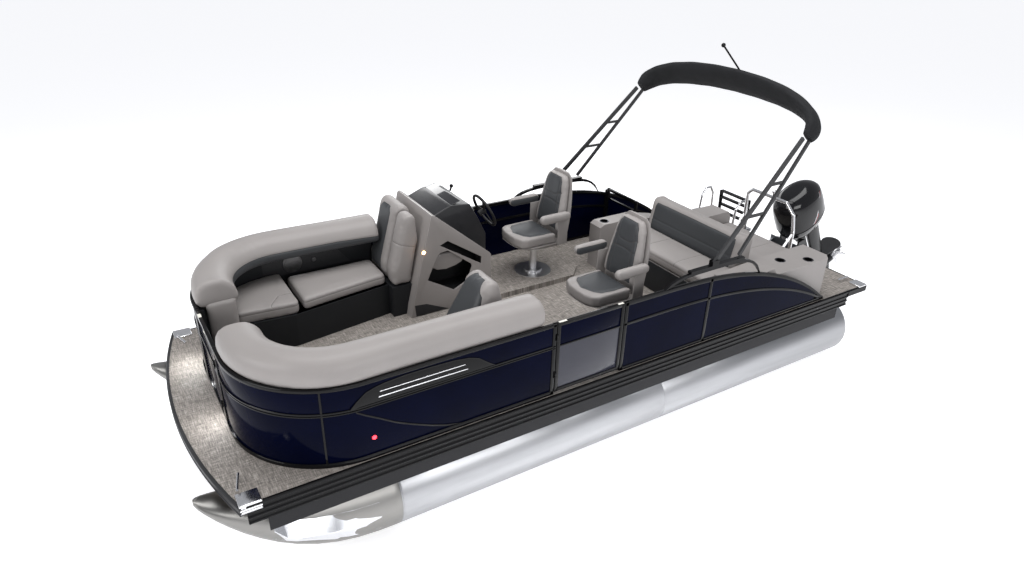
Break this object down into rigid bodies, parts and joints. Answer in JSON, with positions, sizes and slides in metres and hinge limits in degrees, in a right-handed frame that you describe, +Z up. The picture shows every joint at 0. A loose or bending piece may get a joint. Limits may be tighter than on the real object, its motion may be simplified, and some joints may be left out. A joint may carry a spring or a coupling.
{
  "type": "pontoon boat",
  "caption": "Pontoon boat on triple tubes with a railed cockpit, padded lounges, helm, swivel chairs, gates, folded-back canopy arch, tow bar, ladder and a tilted outboard.",
  "frame": {"origin": "under the middle of the whole length, on the floor that the tubes stand on", "axes": "+X from bow to stern, +Y to starboard, +Z up"},
  "size_m": [8.3326, 2.59, 3.3349],
  "materials": {
    "tube_aluminium": "brushed mill finish",
    "frame_aluminium": "mill finish",
    "pod_metal": "satin charcoal",
    "floor_weave": "woven vinyl, taupe and grey",
    "rail_rubber": "satin black ribbed",
    "skirt_metal": "satin dark grey",
    "castings": "polished",
    "frame_black": "gloss black powder coat",
    "panel_navy": "gloss deep navy",
    "seat_base": "moulded charcoal",
    "vinyl_light": "warm light grey upholstery vinyl",
    "vinyl_dark": "charcoal upholstery vinyl",
    "shell_light": "moulded warm grey",
    "smoked_screen": "gloss smoked",
    "control_black": "satin black",
    "chrome": "polished",
    "canopy_metal": "satin dark grey",
    "canopy_cloth": "charcoal canvas",
    "ladder_black": "satin black",
    "motor_black": "gloss black",
    "engine_block": "plain block",
    "prop_steel": "satin"
  },
  "bodies": {
    "hull": {"port_pontoon": "tube_aluminium", "center_pontoon": "tube_aluminium", "starboard_pontoon": "tube_aluminium", "crossmembers": "frame_aluminium", "motor_pod": "pod_metal", "deck": "floor_weave", "rub_rail": "rail_rubber", "side_skirts": "skirt_metal", "corner_castings": "castings", "cleats": "castings", "port_fence_frame": "frame_black", "port_bow_panels": "panel_navy", "port_aft_panels": "panel_navy", "starboard_fence_frame": "frame_black", "starboard_bow_panels": "panel_navy", "starboard_aft_panels": "panel_navy", "port_bench_base": "seat_base", "starboard_bench_base": "seat_base", "bow_corner_cushions": "vinyl_light", "bow_side_walls": "vinyl_dark", "port_coaming": "vinyl_light", "starboard_coaming": "vinyl_light", "port_chaise_back": "vinyl_dark", "starboard_chaise_back": "vinyl_dark", "helm_console": "shell_light", "helm_windscreen": "smoked_screen", "throttle_control": "control_black", "helm_floor": "floor_weave", "helm_chair_pedestal": "chrome", "port_chair_pedestal": "chrome", "lounge_base": "shell_light", "lounge_back": "vinyl_dark", "stern_lounger": "shell_light", "stern_lounger_pad": "vinyl_light", "canopy_rails": "frame_black", "ladder_rails": "chrome", "tow_bar": "chrome", "motor_bracket": "motor_black"},
    "bow_gate": {"bow_gate": "frame_black"},
    "side_gate": {"side_gate": "frame_black"},
    "stern_gate": {"stern_gate": "frame_black"},
    "port_bench_lid": {"port_bench_cushion": "vinyl_light"},
    "starboard_bench_lid": {"starboard_bench_cushion": "vinyl_light"},
    "lounge_lid": {"lounge_cushion": "vinyl_light"},
    "steering_wheel": {"steering_wheel": "control_black"},
    "helm_chair": {"helm_chair_shell": "shell_light", "helm_chair_cushions": "vinyl_dark"},
    "port_chair": {"port_chair_shell": "shell_light", "port_chair_cushions": "vinyl_dark"},
    "canopy": {"canopy_frame": "canopy_metal", "canopy_boot": "canopy_cloth", "stern_light_pole": "canopy_metal"},
    "boarding_ladder": {"boarding_ladder": "ladder_black"},
    "motor_swivel": {"motor_swivel": "motor_black"},
    "outboard": {"motor_leg": "motor_black", "motor_cowl": "motor_black", "powerhead": "engine_block"},
    "propeller": {"propeller": "prop_steel"}
  },
  "joints": [
    {"name": "bow_gate_hinge", "type": "hinge", "parent": "hull", "child": "bow_gate", "pos_m": [-3.79427, -0.333, 1.1], "axis": [0, 0, 1], "range_deg": [0, 95]},
    {"name": "side_gate_hinge", "type": "hinge", "parent": "hull", "child": "side_gate", "pos_m": [-1.38227, -1.273, 1.1], "axis": [0, 0, -1], "range_deg": [0, 95]},
    {"name": "stern_gate_hinge", "type": "hinge", "parent": "hull", "child": "stern_gate", "pos_m": [1.07573, 1.2, 1.1], "axis": [0, 0, 1], "range_deg": [0, 88]},
    {"name": "port_bench_hinge", "type": "hinge", "parent": "hull", "child": "port_bench_lid", "pos_m": [-2.45627, -1.085, 1.34], "axis": [1, 0, 0], "range_deg": [0, 45]},
    {"name": "starboard_bench_hinge", "type": "hinge", "parent": "hull", "child": "starboard_bench_lid", "pos_m": [-2.45627, 1.085, 1.34], "axis": [-1, 0, 0], "range_deg": [0, 45]},
    {"name": "lounge_hinge", "type": "hinge", "parent": "hull", "child": "lounge_lid", "pos_m": [1.02373, -0.27, 1.34], "axis": [0, 1, 0], "range_deg": [0, 75]},
    {"name": "motor_tilt", "type": "hinge", "parent": "hull", "child": "motor_swivel", "pos_m": [3.13373, 0, 0.88], "axis": [0, -1, 0], "range_deg": [-30, 25]},
    {"name": "motor_steer", "type": "hinge", "parent": "motor_swivel", "child": "outboard", "pos_m": [3.33765, 0, 0.7668], "axis": [-0.5, 0, 0.866], "range_deg": [-30, 30]},
    {"name": "steering_wheel_turn", "type": "hinge", "parent": "hull", "child": "steering_wheel", "pos_m": [-0.90627, 0.75, 1.74], "axis": [0.9063, 0, 0.4226], "range_deg": [-720, 720]},
    {"name": "propeller_spin", "type": "hinge", "parent": "outboard", "child": "propeller", "pos_m": [4.05335, 0, 0.48718], "axis": [0.866, 0, 0.5], "continuous": true},
    {"name": "helm_chair_swivel", "type": "hinge", "parent": "hull", "child": "helm_chair", "pos_m": [-0.32627, 0.7, 1.245], "axis": [0, 0, 1], "continuous": true},
    {"name": "port_chair_swivel", "type": "hinge", "parent": "hull", "child": "port_chair", "pos_m": [-0.43627, -0.65, 1.245], "axis": [0, 0, 1], "continuous": true},
    {"name": "canopy_fold", "type": "hinge", "parent": "hull", "child": "canopy", "pos_m": [0.30373, 0, 1.71], "axis": [0, 1, 0], "range_deg": [-46, 0]},
    {"name": "ladder_fold", "type": "hinge", "parent": "hull", "child": "boarding_ladder", "pos_m": [2.75773, 0.715, 0.916], "axis": [0, 1, 0], "range_deg": [0, 170]}
  ],
  "couplings": [
    {"joint": "steering_wheel_turn", "follows": "motor_steer", "ratio": 24}
  ]
}
